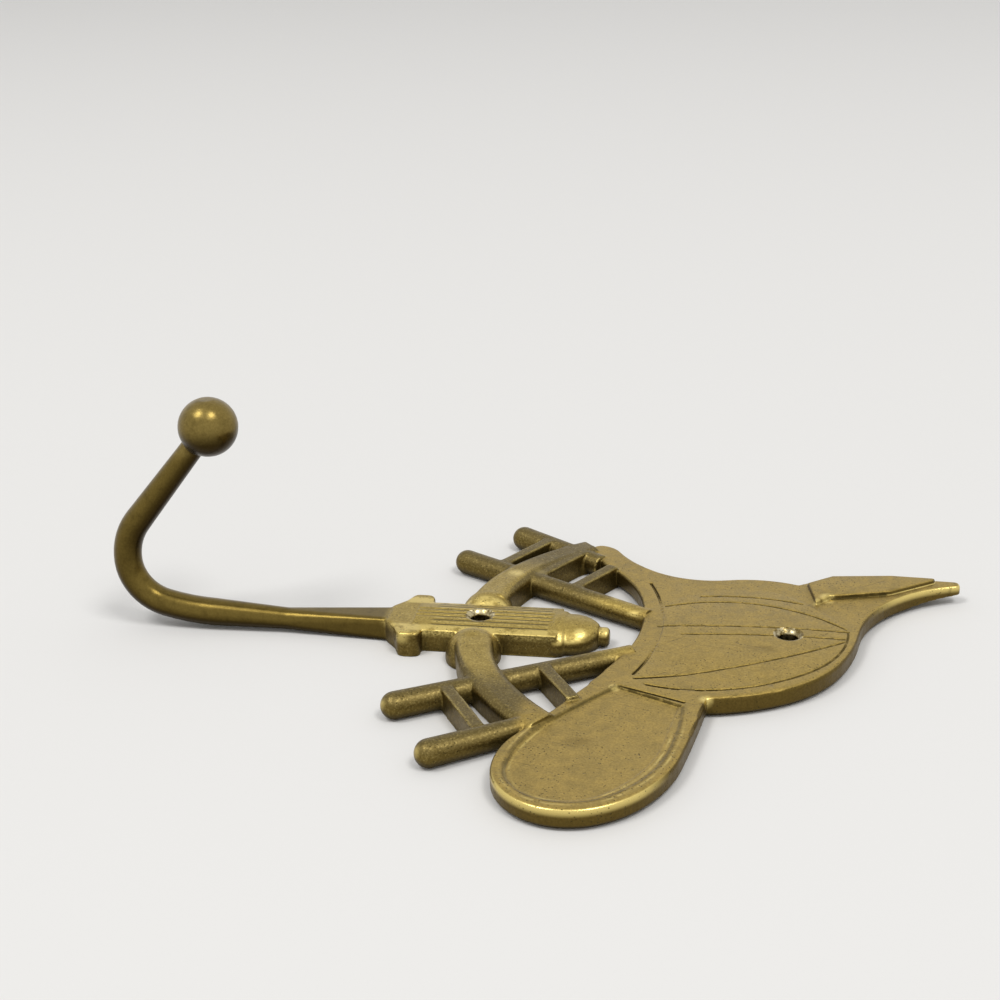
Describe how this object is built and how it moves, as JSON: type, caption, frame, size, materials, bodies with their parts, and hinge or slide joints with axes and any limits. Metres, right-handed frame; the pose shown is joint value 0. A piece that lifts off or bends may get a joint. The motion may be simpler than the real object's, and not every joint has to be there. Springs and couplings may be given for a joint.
{
  "type": "wall hook",
  "caption": "Cast brass wall hook in a firefighting theme: helmet, hydrant, hoses and ladders as the plate, with a ball-ended arm and countersunk screw holes.",
  "frame": {"origin": "midway between the two screw holes, on the back face that lies against the wall", "axes": "+Z away from the wall, +X up the wall from the arm to the helmet, +Y towards the front brim of the helmet"},
  "size_m": [0.2052, 0.1354, 0.0593],
  "materials": {
    "brass": "aged, worn bright on edges"
  },
  "bodies": {
    "root": {"hook_casting": "brass"}
  },
  "joints": []
}
